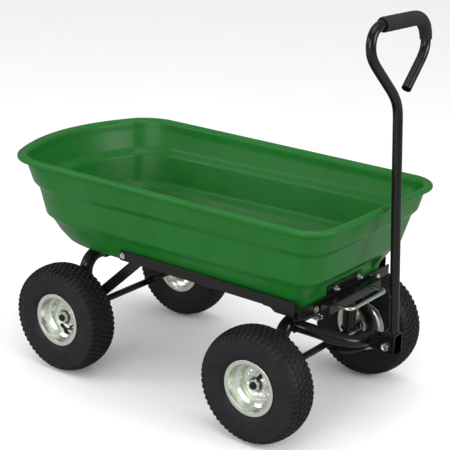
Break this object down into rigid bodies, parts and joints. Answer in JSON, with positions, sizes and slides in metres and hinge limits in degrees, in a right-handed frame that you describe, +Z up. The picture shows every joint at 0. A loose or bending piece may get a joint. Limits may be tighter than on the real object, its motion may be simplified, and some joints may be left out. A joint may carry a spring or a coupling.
{
  "type": "garden dump cart",
  "caption": "Four-wheeled garden cart with a moulded tipping tub on a tubular steel undercarriage, steered front axle, sprung latch and fold-down pull handle.",
  "frame": {"origin": "middle of the cart's length and width, on the ground under it", "axes": "+X towards the handle end, +Y to the cart's left, +Z up"},
  "size_m": [0.987, 0.527, 0.9117],
  "materials": {
    "green_plastic": "semi-gloss moulded",
    "black_steel": "gloss powder coat",
    "zinc_steel": "bright zinc plate",
    "tyre_rubber": "matt rubber",
    "valve_rubber": "matt rubber",
    "foam": "matt foam",
    "bearing_steel": "ground steel"
  },
  "bodies": {
    "frame": {"rear_axle": "black_steel", "rear_hoop": "black_steel", "rear_brace_left": "black_steel", "rear_brace_right": "black_steel", "side_rail_left": "black_steel", "side_rail_right": "black_steel", "rail_bolt_left": "zinc_steel", "rail_bolt_right": "zinc_steel", "front_cross_member": "black_steel", "cross_bolt_left": "zinc_steel", "cross_bolt_right": "zinc_steel", "front_saddle": "black_steel", "turntable_upper": "black_steel", "latch_housing": "black_steel", "latch_spring_left": "zinc_steel", "latch_spring_right": "zinc_steel", "kingpin": "zinc_steel", "kingpin_nut": "zinc_steel", "axle_nut_rear_left": "zinc_steel", "axle_nut_rear_right": "zinc_steel"},
    "steering": {"front_axle": "black_steel", "front_bow": "black_steel", "turntable_lower": "black_steel", "tongue_loop": "black_steel", "tongue_plate": "black_steel", "tongue_bracket": "black_steel", "axle_nut_front_left": "zinc_steel", "axle_nut_front_right": "zinc_steel"},
    "handle": {"handle_fork": "black_steel", "handle_tube": "black_steel", "handle_grip": "foam", "pivot_bolt": "zinc_steel", "pivot_nut": "zinc_steel"},
    "tub_body": {"tub": "green_plastic", "tub_hinge_left": "black_steel", "tub_hinge_right": "black_steel", "latch_striker": "black_steel", "striker_bolt_left": "zinc_steel", "striker_bolt_right": "zinc_steel"},
    "latch": {"latch_handle": "zinc_steel"},
    "wheel_front_left": {"tyre_front_left": "tyre_rubber", "rim_front_left": "zinc_steel", "bearing_outer_front_left": "bearing_steel", "bearing_inner_front_left": "bearing_steel", "valve_front_left": "valve_rubber"},
    "wheel_front_right": {"tyre_front_right": "tyre_rubber", "rim_front_right": "zinc_steel", "bearing_outer_front_right": "bearing_steel", "bearing_inner_front_right": "bearing_steel", "valve_front_right": "valve_rubber"},
    "wheel_rear_left": {"tyre_rear_left": "tyre_rubber", "rim_rear_left": "zinc_steel", "bearing_outer_rear_left": "bearing_steel", "bearing_inner_rear_left": "bearing_steel", "valve_rear_left": "valve_rubber"},
    "wheel_rear_right": {"tyre_rear_right": "tyre_rubber", "rim_rear_right": "zinc_steel", "bearing_outer_rear_right": "bearing_steel", "bearing_inner_rear_right": "bearing_steel", "valve_rear_right": "valve_rubber"}
  },
  "joints": [
    {"name": "steer", "type": "hinge", "parent": "frame", "child": "steering", "pos_m": [0.2848, 0, 0.2567], "axis": [0, 0, 1], "range_deg": [-17, 17]},
    {"name": "handle_pivot", "type": "hinge", "parent": "steering", "child": "handle", "pos_m": [0.473, 0, 0.2005], "axis": [0, 1, 0], "range_deg": [0, 100]},
    {"name": "tub_dump", "type": "hinge", "parent": "frame", "child": "tub_body", "pos_m": [-0.274, 0, 0.2625], "axis": [0, -1, 0], "range_deg": [0, 60]},
    {"name": "latch_pull", "type": "slide", "parent": "frame", "child": "latch", "axis": [1, 0, 0], "range_m": [0, 0.015], "stiffness_N_per_m": 400, "springref_m": -0.01},
    {"name": "spin_front_left", "type": "hinge", "parent": "steering", "child": "wheel_front_left", "pos_m": [0.2848, 0.2245, 0.13], "axis": [0, 1, 0], "continuous": true},
    {"name": "spin_front_right", "type": "hinge", "parent": "steering", "child": "wheel_front_right", "pos_m": [0.2848, -0.2245, 0.13], "axis": [0, 1, 0], "continuous": true},
    {"name": "spin_rear_left", "type": "hinge", "parent": "frame", "child": "wheel_rear_left", "pos_m": [-0.274, 0.2245, 0.13], "axis": [0, 1, 0], "continuous": true},
    {"name": "spin_rear_right", "type": "hinge", "parent": "frame", "child": "wheel_rear_right", "pos_m": [-0.274, -0.2245, 0.13], "axis": [0, 1, 0], "continuous": true}
  ]
}
